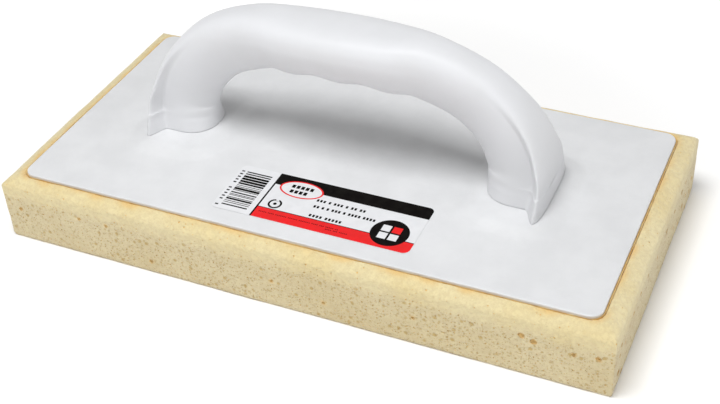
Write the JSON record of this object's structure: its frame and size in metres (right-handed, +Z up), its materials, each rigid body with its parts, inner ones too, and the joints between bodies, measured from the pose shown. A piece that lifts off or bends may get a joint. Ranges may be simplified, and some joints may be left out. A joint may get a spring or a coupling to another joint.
{
  "type": "sponge float",
  "caption": "Sponge float for tile grouting: a rectangular sponge pad glued under a moulded plate with an arched hand grip.",
  "frame": {"origin": "centre of the sponge's working face, on the surface it wipes", "axes": "+X along the pad's length and the handle's arch, +Y across the pad, +Z up from the working face to the grip"},
  "size_m": [0.28, 0.14, 0.1007],
  "materials": {
    "sponge": "open-cell sponge foam, cream yellow, matt, with scattered large pores",
    "adhesive": "cured contact adhesive",
    "plate": "white moulded plastic, faintly mottled",
    "handle": "satin white moulded plastic",
    "screw": "zinc plated",
    "label": "printed self-adhesive film"
  },
  "bodies": {
    "root": {"sponge_pad": "sponge", "adhesive_film": "adhesive", "backing_plate": "plate", "handle": "handle", "handle_screw_1": "screw", "handle_screw_2": "screw", "handle_screw_3": "screw", "handle_screw_4": "screw", "label": "label"}
  },
  "joints": []
}
